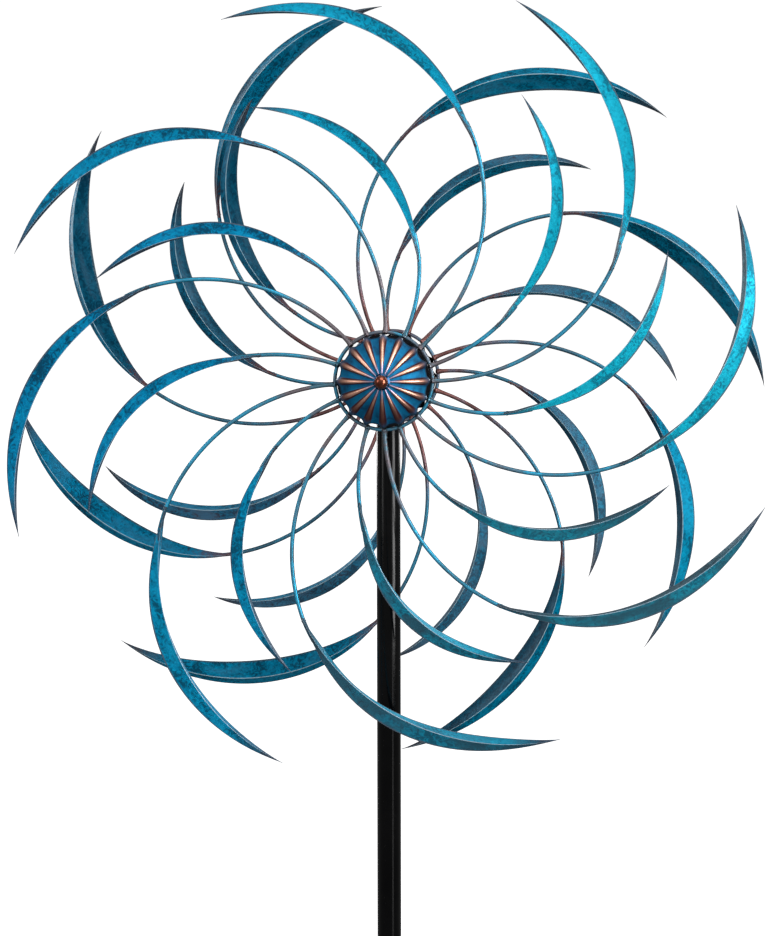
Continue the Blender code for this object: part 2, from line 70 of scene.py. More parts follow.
# Wheels
HOOP_RADIUS = 0.0375
HOOP_WIRE = 0.0015
ARM_WIRE = 0.0016
BLADE_LAP = 0.024  # length of wire welded under a blade's root
SHEET = 0.001
ROOT_WIDTH = 0.12  # share of the full width left at a blade's root
TIP_WIDTH = 0.02
FLATTEN_SKEW = 1.25
FOLD = math.radians(74)
SETTLE = 0.3  # share of the blade in which it turns from flat on its wire to its pitch
FOLD_ROUNDING = 0.0011
SHEET_ROUNDING = 0.0003
LEG_BOW = 0.035  # how far each leg of the fold bows, as a share of its length
FLARE = 0.7  # how much an arm wire swells into its weld at the hoop
FLARE_LENGTH = 0.0022
ARM_WELD = 0.0024  # radius of the bead where an arm meets the hoop
BLADE_WELD = 0.0018  # and of the one at a blade's root
BLADE_WELD_PLACE = 0.003  # past the start of the blade
LONG = {"length": 0.414, "blade": 0.245, "outer_leg": 0.0120, "inner_leg": 0.0190}
SHORT = {"length": 0.255, "blade": 0.196, "outer_leg": 0.0102, "inner_leg": 0.0150}

NONE = (0,) * 8
# One value for each arm: degrees for leave, lean, sweep, pitch and twist, millimetres for
# flatten and forward. They are the CAD's, which says what each means. A row left out is NONE.
RINGS = {
    "front_long": {
        "wheel": "front", "arm": LONG, "bulge": 1.0,
        "leave": (0, 42, 88, 132, 184, 225, 271, 314),
        "sweep": (155, 158, 160, 156, 156, 156, 155, 159),
        "flatten": (5, 3, 4, 6, 5, 6, 6, 3),
        "pitch": (50, 52, 54, 54, 50, 46, 44, 44),
        "twist": (30, 25, 25, 22, 18, 50, 38, 35),
    },
    "front_short": {
        "wheel": "front", "arm": SHORT, "bulge": 1.0,
        "leave": (18, 65, 110, 161, 203, 251, 289, 337),
        "sweep": (106, 117, 117, 99, 114, 107, 118, 110),
        "flatten": (-1, 4, 2, -5, 1, -4, 2, 2),
        "pitch": (50, 52, 48, 52, 48, 44, 44, 48),
        "twist": (30, 20, 38, 25, 26, 50, 44, 38),
    },
    "rear_long": {
        "wheel": "rear", "arm": LONG, "bulge": 1.0,
        "leave": (24, 70, 114, 164, 210, 255, 294, 342),
        "sweep": (156, 157, 155, 159, 154, 156, 153, 155),
        "flatten": (7, 4, 2, 2, 2, 4, 3, 7),
        "pitch": (27, -3, -4, -4, -10, -4, -4, 8),
    },
    "rear_short": {
        "wheel": "rear", "arm": SHORT, "bulge": 0.8,
        "leave": (6, 49, 96, 130, 188, 228, 281, 320),
        "lean": (0, 0, 0, -41, 0, -19, 0, 0),
        "sweep": (119, 115, 115, 114, 118, 109, 115, 116),
        "flatten": (2, 2, -1, -3, -1, -3, 0, 0),
        "forward": (0, 0, 0, 20, 0, 0, 0, 0),
        "pitch": (22, 30, 12, 0, 8, 28, 32, 32),
    },
}

# Hub: distances are along the axle, from the pole's centreline outwards
TEE_HALF = 0.024
TEE_RADIUS = 0.011
PLUG_LENGTH = 0.045
AXLE_RADIUS = 0.004
AXLE_BORE = AXLE_RADIUS + GAP
RACE_START = 0.038
RACE_WIDTH = 0.007
INNER_RACE = 0.0061
OUTER_RACE = 0.0092
BEARING_RADIUS = 0.0110
BALL_PITCH = (INNER_RACE + OUTER_RACE) / 2
BALL_RADIUS = 0.00185
BALL_COUNT = 7
CAGE_HALF = 0.0008
HOUSING_RADIUS = 0.0135
HOUSING_END = 0.057
LIP_WIDTH = 0.002
PLATE_RADIUS = 0.033
PLATE_SHEET = 0.002
PLATE_EASE = 0.0004
TAB_COUNT = 4
TAB_HALF = math.radians(9)
TAB_SLOPE = 0.03  # angle over which a tab rises from the plate's rim, in radians
SPACER_RADIUS = 0.007
DOME_RADIUS = 0.0362
DOME_HEIGHT = 0.0185
DOME_TOP = 0.0775
DOME_SAG = 0.0011
DOME_SHEET = 0.001
DOME_FLUTES = 16
DOME_SCALLOP = 0.0013
DOME_CREST = 0.0012
THREAD_RADIUS = 0.003
THREAD_LENGTH = 0.0085
THREAD_PITCH = 0.001
THREAD_DEPTH = 0.0003
AXLE_END = 0.0825
NUT_COLLAR_RADIUS = 0.0065
NUT_COLLAR_HEIGHT = 0.0015
NUT_BALL_RADIUS = 0.0053

# Pole and stake
POLE_RADIUS = 0.0095
POLE_BORE = 0.0083
POLE_JOINTS = (0.470, 0.935)
POLE_TOP = HUB.z - 0.0183
SPIGOT_RADIUS = POLE_BORE - GAP
SPIGOT_BORE = 0.0068
SPIGOT_LENGTH = 0.050
SWAGE = 0.0015
PLATE_ARM = 0.085
PLATE_WIDTH = 0.030
PLATE_CHAMFER = 0.006
PLATE_THICKNESS = 0.005
STAKE_PLATE_EASE = 0.0006
PRONG_RADIUS = 0.004
PRONG_LENGTH = 0.190
PRONG_PITCH = 0.072
PRONG_POINT = 0.030
SOCKET_RADIUS = 0.0125
SOCKET_BORE = POLE_RADIUS + GAP
SOCKET_TOP = 0.085
SOCKET_SCREW_HEIGHT = 0.066
THUMB_SCREW_RADIUS = 0.003
SCREW_HEAD_RADIUS = 0.005
SCREW_HEAD_HEIGHT = 0.005
SCREW_HEAD_GAP = 0.006
SCREW_BOSS_HEIGHT = 0.0025
WING_SHEET = 0.0022
WING_SLOPE = 0.105  # how far a wing leans outwards over its height

# Weld beads round the pole's head and the stake: the radius of each
HEAD_WELD = 0.0011
PRONG_WELD = 0.0012
SOCKET_WELD = 0.0013
WELD_OFFSET = 0.0004  # from the face that a bead lies on to its middle

# Painted shade and patina by a blade's middle: metres to the right of the hub and below it
FRONT_UNSHADED_BELOW = 0.18
FRONT_PATINA_AND_SHADE_BELOW = 0.06
FRONT_PATINA_AND_SHADE_RIGHT_OF = -0.01
REAR_UNSHADED_BELOW = 0.09
REAR_LIGHT_SHADE_BELOW = -0.15
DEEP_SHADE = 1.3
LIGHT_PAINTED_SHADE = 0.35
SHORT_PATINA_AND_SHADE = 0.6
SHORT_SLIGHT_PATINA_AND_SHADE = 0.2

# Fineness of the meshes
ROUND = 64
WIRE_SIDES = 12
BLADE_STEPS = 72
ARM_STEPS = 56
HOOP_STEPS = 128
PLATE_SIDES = 160
BEAD_SIDES = 10
WING_STEPS = 24
CORNER = math.radians(35)  # edges sharper than this are shaded as corners
BLUNT_CORNER = math.radians(155)  # corners of an outline blunter than this aren't eased
ON_AXIS = 1e-7  # a turned outline's point nearer than this is on its axis
NO_LENGTH = 1e-9

# Scales of the blades' patterns: across and along a blade, and from one blade to the next
MOTTLE = (260, 200, 3)
CLOUD = (60, 28, 5)
STREAK = (1500, 90, 7)
PATTERN_STEP = 1.7  # between neighbouring blades' patterns
SHORT_PATTERN = 40  # and between the long and the short blades'
PAINT_STOPS = (0.42, 0.49, 0.60)  # tones of the dark, middle and light paint
WIRE_METALLIC = 0.5
HOOP_SHARE = 0.35  # a hoop's colours are those of an arm at this share of its length

SEED = 7
rng = random.Random(SEED)


# ---------------------------------------------------------------- materials


def srgb(red, green, blue):
    """A linear colour from its usual display values."""
    channels = [((c + 0.055) / 1.055) ** 2.4 if c > 0.04 else c / 12.92 for c in (red, green, blue)]
    return (*channels, 1)


class Finish:
    """A material under construction: short ways to add nodes and join them."""

    def __init__(self, name, metallic, **sockets):
        self.material = bpy.data.materials.new(name)
        self.material.use_nodes = True
        self.tree = self.material.node_tree
        self.shader = self.tree.nodes["Principled BSDF"]
        self.shader.inputs["Metallic"].default_value = metallic
        for socket, value in sockets.items():
            self.shader.inputs[socket.replace("_", " ")].default_value = value

    def node(self, kind, inputs=(), **settings):
        made = self.tree.nodes.new("ShaderNode" + kind)
        for name, value in settings.items():
            setattr(made, name, value)
        for socket, value in dict(inputs).items():
            self.feed(made.inputs[socket], value)
        return made

    def feed(self, socket, value):
        """Joins an output to a socket, or sets the socket to a plain value."""
        if isinstance(value, bpy.types.NodeSocket):
            self.tree.links.new(value, socket)
        else:
            socket.default_value = value

    def position(self):
        return self.node("TexCoord").outputs["Object"]

    def attribute(self, name):
        return self.node("Attribute", attribute_name=name).outputs["Vector"]

    def parts(self, vector):
        return self.node("SeparateXYZ", {0: vector}).outputs

    def scaled(self, vector, *scale):
        return self.node("VectorMath", {0: vector, 1: scale}, operation="MULTIPLY").outputs[0]

    def maths(self, operation, first, second=0.0):
        return self.node("Math", {0: first, 1: second}, operation=operation).outputs[0]

    def times(self, first, second):
        return self.maths("MULTIPLY", first, second)

    def unevenness(self, pattern, size):
        """A pattern made to add to a value: it varies by about half the size either way."""
        return self.times(self.maths("SUBTRACT", pattern, 0.5), size)

    def noise(self, vector, scale, detail=4.0, rough=0.55, distortion=0.0):
        inputs = {"Vector": vector, "Scale": scale, "Detail": detail}
        inputs.update({"Roughness": rough, "Distortion": distortion})
        return self.node("TexNoise", inputs).outputs["Fac"]

    def step(self, value, low, high, start=0.0, end=1.0):
        """A smooth change from start to end as the value goes from low to high."""
        inputs = {"Value": value, "From Min": low, "From Max": high, "To Min": start, "To Max": end}
        return self.node("MapRange", inputs, interpolation_type="SMOOTHSTEP").outputs[0]

    def ramp(self, factor, *stops):
        made = self.node("ValToRGB", {"Fac": factor})
        elements = made.color_ramp.elements
        for element, (place, colour) in zip(elements, (stops[0], stops[-1])):
            element.position, element.color = place, colour
        for place, colour in stops[1:-1]:
            elements.new(place).color = colour
        return made.outputs["Color"]

    def blend(self, factor, first, second):
        made = self.node("Mix", data_type="RGBA")
        for socket, value in ((0, factor), (6, first), (7, second)):
            self.feed(made.inputs[socket], value)
        return made.outputs[2]

    def done(self, colour, roughness, *bumps):
        """Joins the colour, the roughness and any (height, metres, strength) bumps."""
        self.feed(self.shader.inputs["Base Color"], colour)
        self.feed(self.shader.inputs["Roughness"], roughness)
        normal = None
        for height, distance, strength in bumps:
            bump = self.node("Bump", {"Height": height, "Distance": distance, "Strength": strength})
            if normal:
                self.tree.links.new(normal, bump.inputs["Normal"])
            normal = bump.outputs["Normal"]
        if normal:
            self.tree.links.new(normal, self.shader.inputs["Normal"])
        return self.material


def blade_finish(
    name, metallic, gloss, paints, shades, shade_cover, dull_patina_and_shade, rust, rust_cover,
    tip, root, bare, crease, crease_width,
):
    """Brushed, tinted sheet: mottled paint, patches of rust brown, bare edges, painted shade and a
    crease that is lightened, partly by wear and partly as a painted highlight.

    paints holds the paint's (dark, middle, light) colours at either end of the wheel's tint, whose
    lighter cyan end is partly painted light. shades are the (dark, light) colours of the painted
    shade on a shaded blade's inner leg. The dull colour goes on the outer leg of some blades,
    partly patina and partly painted shade. tip and root are the colours at the blade's two ends.
    """
    finish = Finish(name, metallic, Specular_IOR_Level=gloss)
    place = finish.attribute("place")  # metres across, metres along, blade number
    across, along, back = finish.parts(finish.attribute("share"))
    tint_and_painted_light, shaded, aged_and_shaded = finish.parts(finish.attribute("tint_and_painted_light"))
    mottle = finish.noise(finish.scaled(place, *MOTTLE), 1.0, 5, 0.6, 1.6)
    cloud = finish.noise(finish.scaled(place, *CLOUD), 1.0, 3, 0.5, 0.6)
    streak = finish.noise(finish.scaled(place, *STREAK), 1.0, 4, 0.6)
    tone = finish.maths("ADD", finish.times(cloud, 0.45), finish.times(mottle, 0.55))
    coats = [finish.ramp(tone, *zip(PAINT_STOPS, colours)) for colours in paints]
    # Blades on the wheel's right take the lighter cyan paints: a brushed tint, and partly painted
    # light from that side.
    colour = finish.blend(tint_and_painted_light, *coats)
    brushing = finish.step(streak, 0.35, 0.7, 0.0, 0.22)
    colour = finish.blend(brushing, colour, coats[1])
    # A painted shade darkens the inner leg of each shaded blade.
    inner = finish.times(finish.step(across, 0.02, -0.15, 0.0, shade_cover), shaded)
    deep = finish.ramp(tone, *zip(PAINT_STOPS[::2], shades))
    colour = finish.blend(inner, colour, deep)
    # The outer leg of some blades is dulled in clouds: partly patina, partly painted shade.
    patina_and_shade = finish.times(aged_and_shaded, finish.step(cloud, 0.36, 0.62, 0.3, 0.85))
    patina_and_shade = finish.times(patina_and_shade, finish.step(across, -0.15, 0.02))
    colour = finish.blend(patina_and_shade, colour, dull_patina_and_shade)
    inside = finish.step(across, 0.1, -0.3, 0.25, 1.0)
    patch = finish.times(finish.step(cloud, 0.46, 0.66, 0.0, rust_cover), inside)
    colour = finish.blend(patch, colour, rust)
    uneven = finish.unevenness(mottle, 0.25)
    reach = finish.maths("ADD", along, uneven)
    colour = finish.blend(finish.step(reach, 0.80, 0.97), colour, tip)
    colour = finish.blend(finish.step(reach, 0.17, 0.03, 0.0, 0.85), colour, root)
    side = finish.maths("ABSOLUTE", across)
    edge = finish.step(finish.maths("ADD", side, uneven), 0.88, 0.94, 0.0, 0.9)
    colour = finish.blend(edge, colour, bare)
    # The crease on the front face is lightened: partly wear of the paint, partly a painted highlight.
    crease_wear_and_highlight = finish.step(mottle, 0.25, 0.5, 0.55, 1.0)
    crease_wear_and_highlight = finish.times(finish.step(side, crease_width, 0.0), crease_wear_and_highlight)
    crease_wear_and_highlight = finish.times(crease_wear_and_highlight, finish.step(back, 0.5, 0.0))
    colour = finish.blend(crease_wear_and_highlight, colour, crease)
    roughness = finish.step(tone, 0.35, 0.65, 0.50, 0.38)
    return finish.done(colour, roughness, (mottle, 0.0002, 0.2), (streak, 0.0001, 0.12))


def wire_finish(name, hub_colours, arm_colours):
    """Antiqued wire, whose colours change from the hub outwards. A painted highlight lightens its
    front, and painted shade darkens its sides and back.
    """
    finish = Finish(name, WIRE_METALLIC)
    crown, along, _ = finish.parts(finish.attribute("share"))
    place = finish.position()
    cloud = finish.noise(place, 34, 4, 0.6, 0.8)
    fleck = finish.noise(place, 420, 5, 0.6)
    patch = finish.step(cloud, 0.42, 0.58)
    hub, arm = finish.blend(patch, *hub_colours), finish.blend(patch, *arm_colours)
    uneven = finish.unevenness(cloud, 0.9)
    shift = finish.maths("ADD", along, uneven)
    painted_side_shade, painted_front_highlight = srgb(0.07, 0.07, 0.09), srgb(0.72, 0.74, 0.78)
    colour = finish.blend(finish.step(shift, 0.08, 0.62), hub, arm)
    colour = finish.blend(finish.step(fleck, 0.55, 0.75, 0, 0.5), colour, hub_colours[0])
    # Painted shade darkens the wire away from its front, and a painted highlight lightens its front.
    colour = finish.blend(finish.step(crown, 0.95, 0.4, 0, 0.75), colour, painted_side_shade)
    colour = finish.blend(finish.step(crown, 0.85, 1.0, 0, 0.15), colour, painted_front_highlight)
    return finish.done(colour, finish.step(fleck, 0.3, 0.7, 0.25, 0.45), (fleck, 0.0002, 0.3))


def dome_finish():
    """Fluted cap: copper on the crests, blue in the hollows, and painted shade between them and at
    the rim. Below the hub the crests show less copper, a painted shade, and near the middle they
    take a pale painted sheen.
    """
    finish = Finish("dome_metal", 0.7)
    out, crest, back = finish.parts(finish.attribute("share"))
    place = finish.position()
    cloud = finish.noise(place, 90, 4, 0.6, 0.5)
    grain = finish.noise(place, 900, 4, 0.65)
    blues = (srgb(0.02, 0.30, 0.45), srgb(0.0, 0.42, 0.60), srgb(0.02, 0.48, 0.66))
    hollow = finish.ramp(cloud, *zip((0.35, 0.5, 0.7), blues))
    copper = finish.ramp(grain, (0.25, srgb(0.88, 0.62, 0.52)), (0.8, srgb(0.98, 0.78, 0.69)))
    # Near the middle the crests turn pale lilac, a painted sheen.
    copper = finish.blend(finish.step(out, 0.42, 0.16), copper, srgb(0.70, 0.68, 0.82))
    uneven = finish.unevenness(cloud, 0.30)
    height = finish.maths("ADD", crest, uneven)
    # Painted shade: dark red-brown on the flanks between the copper crests and the blue hollows.
    painted_flank_shade = finish.step(out, 1.0, 0.85, 0.3, 1.0)
    painted_flank_shade = finish.times(finish.step(height, 0.38, 0.62), painted_flank_shade)
    bare = finish.step(out, 1.0, 0.66, 0.1, 1.0)
    bare = finish.times(finish.step(height, 0.72, 0.97), bare)
    # Below the hub the crests show less copper, a painted shade.
    upper = finish.step(finish.parts(place)[2], HUB.z - 0.026, HUB.z - 0.002, 0.15, 1.0)
    bare = finish.times(bare, upper)
    colour = finish.blend(painted_flank_shade, hollow, srgb(0.27, 0.10, 0.11))
    colour = finish.blend(bare, colour, copper)
    # A painted shade darkens the cap's outer edge.
    rim = finish.step(out, 0.955, 0.99, 0.0, 0.8)
    colour = finish.blend(rim, colour, srgb(0.10, 0.16, 0.22))
    colour = finish.blend(finish.step(back, 0.2, 0.8, 0.0, 0.85), colour, srgb(0.03, 0.035, 0.04))
    return finish.done(colour, finish.step(crest, 0.4, 0.8, 0.6, 0.3), (grain, 0.0001, 0.08))


def nut_finish():
    """A polished copper ball on a collar tinted like the dome's hollows."""
    finish = Finish("ball_nut_metal", 0.95, Coat_Weight=0.3, Coat_Roughness=0.06)
    along = finish.parts(finish.attribute("share"))[1]
    cloud = finish.noise(finish.position(), 260, 4, 0.6)
    ball = finish.ramp(cloud, (0.3, srgb(0.42, 0.19, 0.13)), (0.65, srgb(0.66, 0.36, 0.26)))
    colour = finish.blend(finish.step(along, 0.385, 0.355), ball, srgb(0.02, 0.20, 0.33))
    return finish.done(colour, finish.step(cloud, 0.3, 0.7, 0.12, 0.22), (cloud, 0.0001, 0.15))


def paint_finish():
    """Gloss black powder coat, with a faint orange peel and a little dust."""
    finish = Finish("gloss_black_coat", 0.0, IOR=1.3)
    place = finish.position()
    peel = finish.noise(place, 420, 3, 0.5)
    dust = finish.noise(place, 30, 6, 0.65, 0.4)
    colour = finish.ramp(dust, (0.4, srgb(0.008, 0.008, 0.01)), (0.75, srgb(0.025, 0.025, 0.028)))
    return finish.done(colour, finish.step(dust, 0.4, 0.75, 0.12, 0.22), (peel, 0.0002, 0.12))


def steel_finish(name, dark, light, low, high, scale):
    """Plated or ground steel with slight clouding."""
    finish = Finish(name, 1.0)
    place = finish.position()
    cloud = finish.noise(place, scale, 4, 0.6, 0.6)
    scratch = finish.noise(finish.scaled(place, 300, 2400, 300), 1.0, 3, 0.5)
    colour = finish.ramp(cloud, (0.3, dark), (0.7, light))
    return finish.done(colour, finish.step(cloud, 0.3, 0.7, low, high), (scratch, 0.0001, 0.15))


# Each pair of paints is for a blade at the deep blue and at the cyan end of the tint.
# The cyan end is lighter, partly painted light from the wheel's right.
FRONT_BLADE = blade_finish(
    "brushed_azure_sheet",
    metallic=0.3,
    gloss=0.1,
    paints=(
        (srgb(0.02, 0.25, 0.37), srgb(0.0, 0.43, 0.61), srgb(0.0, 0.54, 0.74)),
        (srgb(0.04, 0.43, 0.52), srgb(0.04, 0.61, 0.71), srgb(0.08, 0.71, 0.81)),
    ),
    shades=(srgb(0.08, 0.09, 0.12), srgb(0.16, 0.18, 0.23)),
    shade_cover=0.8,
    dull_patina_and_shade=srgb(0.18, 0.26, 0.31),
    rust=srgb(0.20, 0.18, 0.22),
    rust_cover=0.35,
    tip=srgb(0.20, 0.26, 0.33),
    root=srgb(0.24, 0.27, 0.31),
    bare=srgb(0.30, 0.34, 0.39),
    crease=srgb(0.66, 0.74, 0.80),
    crease_width=0.075,
)
REAR_BLADE = blade_finish(
    "brushed_teal_sheet",
    metallic=0.12,
    gloss=0.02,
    paints=(
        (srgb(0.02, 0.22, 0.31), srgb(0.0, 0.38, 0.51), srgb(0.0, 0.48, 0.64)),
        (srgb(0.02, 0.28, 0.37), srgb(0.0, 0.42, 0.54), srgb(0.0, 0.52, 0.66)),
    ),
    shades=(srgb(0.0, 0.18, 0.26), srgb(0.03, 0.31, 0.41)),
    shade_cover=0.72,
    dull_patina_and_shade=srgb(0.33, 0.25, 0.25),
    rust=srgb(0.24, 0.22, 0.24),
    rust_cover=0.25,
    tip=srgb(0.22, 0.23, 0.26),
    root=srgb(0.38, 0.24, 0.23),
    bare=srgb(0.24, 0.31, 0.35),
    crease=srgb(0.62, 0.72, 0.76),
    crease_width=0.09,
)
FRONT_WIRE = wire_finish(
    "antique_cyan_wire",
    (srgb(0.42, 0.38, 0.40), srgb(0.24, 0.46, 0.54)),
    (srgb(0.08, 0.48, 0.60), srgb(0.02, 0.62, 0.78)),
)
REAR_WIRE = wire_finish(
    "antique_copper_wire",
    (srgb(0.38, 0.19, 0.17), srgb(0.55, 0.31, 0.27)),
    (srgb(0.10, 0.38, 0.48), srgb(0.03, 0.50, 0.63)),
)
DOME_METAL = dome_finish()
NUT_METAL = nut_finish()
# Near black: partly the hub plate's own dark finish, partly painted shade of the gap behind the dome.
PLATE_METAL = wire_finish(
    "dark_plate_and_gap_shade",
    (srgb(0.05, 0.05, 0.06), srgb(0.09, 0.10, 0.12)),
    (srgb(0.05, 0.06, 0.07), srgb(0.08, 0.10, 0.12)),
)
BLACK_COAT = paint_finish()
ZINC = steel_finish("zinc_plate", srgb(0.52, 0.53, 0.55), srgb(0.74, 0.75, 0.76), 0.28, 0.42, 160)
BEARING_STEEL = steel_finish(
    "bearing_steel", srgb(0.66, 0.67, 0.69), srgb(0.80, 0.81, 0.82), 0.12, 0.2, 90
)


# ---------------------------------------------------------------- meshes


class Builder:
    """A bmesh whose points carry what the finishes read: a place and a share, both vectors."""

    def __init__(self):
        self.bm = bmesh.new()
        self.share = self.bm.verts.layers.float_vector.new("share")
        self.place = self.bm.verts.layers.float_vector.new("place")

    def point(self, at, share=(0, 0, 0), place=(0, 0, 0)):
        made = self.bm.verts.new(at)
        made[self.share] = share
        made[self.place] = place
        return made

    def loft(self, rings, closed=False):
        """Faces between rings of points, which are (at, share, place) or plain vectors.

        The first and last rings are joined if it's closed, and filled if it isn't.
        """
        rows = [
            [self.point(*p) if isinstance(p, tuple) else self.point(p) for p in ring]
            for ring in rings
        ]
        pairs = list(zip(rows, rows[1:]))
        if closed:
            pairs.append((rows[-1], rows[0]))
        for first, second in pairs:
            for i in range(len(first)):
                j = (i + 1) % len(first)
                self.bm.faces.new((first[i], first[j], second[j], second[i]))
        if not closed:
            self.bm.faces.new(reversed(rows[0]))
            self.bm.faces.new(rows[-1])

    def lathe(self, profile, origin, axis, sides=ROUND, rounding=0.0003):
        """Turns (radius, height) points about an axis through the origin, with eased corners.

        The outline closes on itself, or along the axis where its ends have no radius.
        """
        right = axis.orthogonal().normalized()
        up = axis.cross(right)
        ways = [right * x + up * y for x, y in ring_of(1, sides)]
        outline = eased(profile, rounding)
        rows = []
        for row, (radius, height) in enumerate(outline):
            share = (0, row / len(outline), 0)
            rows.append([
                self.point(way * radius + axis * height + origin, share)
                for way in (ways if radius > ON_AXIS else ways[:1])
            ])
        pairs = list(zip(rows, rows[1:]))
        if outline[0][0] > ON_AXIS:
            pairs.append((rows[-1], rows[0]))
        for first, second in pairs:
            for i in range(sides):
                j = (i + 1) % sides
                corners = [first[i % len(first)], first[j % len(first)]]
                corners += [second[j % len(second)], second[i % len(second)]]
                corners = list(dict.fromkeys(corners))
                if len(corners) > 2:
                    self.bm.faces.new(corners)

    def bead(self, centre, radius, share=(0, 0, 0)):
        """A lumpy blob of weld."""
        made = bmesh.ops.create_icosphere(self.bm, subdivisions=3, radius=1)["verts"]
        for vert in made:
            swell = 1 + 0.22 * noise.noise(vert.co * 2.1 + centre * 900)
            vert.co = centre + vert.co * radius * swell
            vert[self.share] = share

    def piece(self, node, material, body, kind="fine"):
        """The finished object, which rides on a body and stands for a CAD node."""
        name = f"{node}_{kind}"
        bmesh.ops.recalc_face_normals(self.bm, faces=self.bm.faces)
        mesh = bpy.data.meshes.new(name)
        self.bm.to_mesh(mesh)
        self.bm.free()
        mesh.shade_smooth()
        mesh.set_sharp_from_angle(angle=CORNER)
        mesh.materials.append(material)
        obj = bpy.data.objects.new(name, mesh)
        bpy.context.scene.collection.objects.link(obj)
        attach(obj, body)
        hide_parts(node)
        return obj


def eased(profile, rounding):
    """The outline with each corner that isn't on the axis cut into three points."""
    closed = profile[0][0] > 0
    points = [Vector(p) for p in profile]
    result = []
    for i, corner in enumerate(points):
        if corner.x == 0 and not closed:
            result.append(corner)
            continue
        before, after = points[i - 1], points[(i + 1) % len(points)]
        to_before, to_after = before - corner, after - corner
        shorter = min(to_before.length, to_after.length)
        if shorter < NO_LENGTH or to_before.angle(to_after) > BLUNT_CORNER:
            result.append(corner)
            continue
        ease = min(rounding, shorter * 0.35)
        start = corner + to_before.normalized() * ease
        end = corner + to_after.normalized() * ease
        result += [start, (start + end) / 4 + corner / 2, end]
    return [(p.x, p.y) for p in result]


def tube(bore, radius, low, high):
    """The outline of a plain tube, to turn."""
    return [(bore, low), (radius, low), (radius, high), (bore, high)]


def ring_of(radius, sides):
    """(x, y) points evenly round a circle."""
    angles = [math.tau * i / sides for i in range(sides)]
    return [(radius * math.cos(angle), radius * math.sin(angle)) for angle in angles]


def curve_through(start, middle, end, steps):
    """Points on the smooth bend from start to end that leans towards the middle point."""
    result = []
    for step in range(steps + 1):
        t = step / steps
        result.append(start * (1 - t) ** 2 + middle * 2 * t * (1 - t) + end * t**2)
    return result


# ---------------------------------------------------------------- wheels


def arm_frame(ring, index, distance):
    """An arm's centre and the direction of its convex side, at a distance along it."""
    arm = ring["arm"]
    turn = WHEEL_TURN[ring["wheel"]]
    leave = turn * math.radians(ring["leave"][index])
    heading = leave + math.radians(ring.get("lean", NONE)[index])
    sweep = math.radians(ring["sweep"][index])
    bend_radius = arm["length"] / sweep
    angle = distance / bend_radius
    share = max(1 - (arm["length"] - distance) / arm["blade"], 0)
    flatten = ring["flatten"][index] / 1000 * math.sin(math.pi * min(share, 1) ** FLATTEN_SKEW)

    def direction(bearing):
        return Vector((math.cos(bearing), 0, turn * math.sin(bearing)))

    start = HUB + HOOP_RADIUS * direction(leave) - WHEEL_SIDE[ring["wheel"]] * HOOP_OFFSET * FORWARD
    sideways = direction(heading + math.pi / 2)
    convex = direction(heading + angle - math.pi / 2)
    forward = ring.get("forward", NONE)[index] / 1000 * share**2 * FORWARD
    centre = start + bend_radius * (sideways + convex) - flatten * convex + forward
    return centre, convex


def blade_width(ring, share):
    """Share of the full width: round in the middle, blunt at the root, pointed at the tip."""
    bulge = max(math.sin(math.pi * share), 0) ** ring["bulge"]
    blunt = ROOT_WIDTH if share < 0.5 else TIP_WIDTH
    return (bulge**4 + blunt**4) ** 0.25


def blade_section(ring, index, share):
    """The folded sheet's outline, with what its finish reads, at a share of its length."""
    arm = ring["arm"]
    distance = arm["length"] - arm["blade"] * (1 - share)
    wire, convex = arm_frame(ring, index, distance)
    settled = math.sin(math.pi / 2 * min(share / SETTLE, 1))
    twist = ring.get("twist", NONE)[index] * share**3
    pitch = math.radians(ring["pitch"][index] * settled - twist)
    width = blade_width(ring, share)
    half = FOLD / 2
    inside = convex * math.sin(pitch) - FORWARD * math.cos(pitch)
    across = convex * math.cos(pitch) + FORWARD * math.sin(pitch)
    fold = wire - inside * (ARM_WIRE + GAP + SHEET) / math.sin(half)
    # Each leg: how far it reaches, its run from the fold, and the way through its sheet.
    legs = (
        (arm["outer_leg"] * width, across * math.sin(half) + inside * math.cos(half),
         inside * math.sin(half) - across * math.cos(half), 1),
        (arm["inner_leg"] * width, inside * math.cos(half) - across * math.sin(half),
         inside * math.sin(half) + across * math.cos(half), -1),
    )
    sheet = min(SHEET, 0.5 * arm["outer_leg"] * width)
    rounding = min(FOLD_ROUNDING, 0.3 * arm["outer_leg"] * width)
    edge = min(SHEET_ROUNDING, 0.3 * sheet)
    number = index * PATTERN_STEP + (0 if ring["arm"] is LONG else SHORT_PATTERN)

    def leg_point(leg, reach, depth, back):
        length, run, through, sign = leg
        bow = LEG_BOW * length * math.sin(math.pi * min(reach / length, 1))
        at = fold + run * reach + through * (depth + bow)
        return (at, (sign * reach / length, share, back), (sign * reach, distance, number + back))

    def surface(depth, back):
        """One side of the sheet, from the convex edge over the fold to the concave edge."""
        corner = fold + inside * depth / math.sin(half)
        outer, inner = legs
        start = leg_point(outer, rounding, depth, back)[0]
        end = leg_point(inner, rounding, depth, back)[0]
        points = [leg_point(outer, outer[0] * part, depth, back) for part in (0.8, 0.6, 0.4)]
        for step, at in enumerate(curve_through(start, corner, end, 4)):
            side = (2 - step) / 2 * rounding
            place = (side, distance, number + back)
            points.append((at, (side / outer[0], share, back), place))
        points += [leg_point(inner, inner[0] * part, depth, back) for part in (0.35, 0.55, 0.78)]
        return points

    def rim(leg, order):
        """The rounded edge of the sheet at the end of a leg."""
        length = leg[0]
        points = [
            leg_point(leg, length - edge, 0, 0),
            leg_point(leg, length, edge, 0),
            leg_point(leg, length, sheet - edge, 1),
            leg_point(leg, length - edge, sheet, 1),
        ]
        return points[::order]

    return rim(legs[0], -1) + surface(0, 0) + rim(legs[1], 1) + surface(sheet, 1)[::-1]


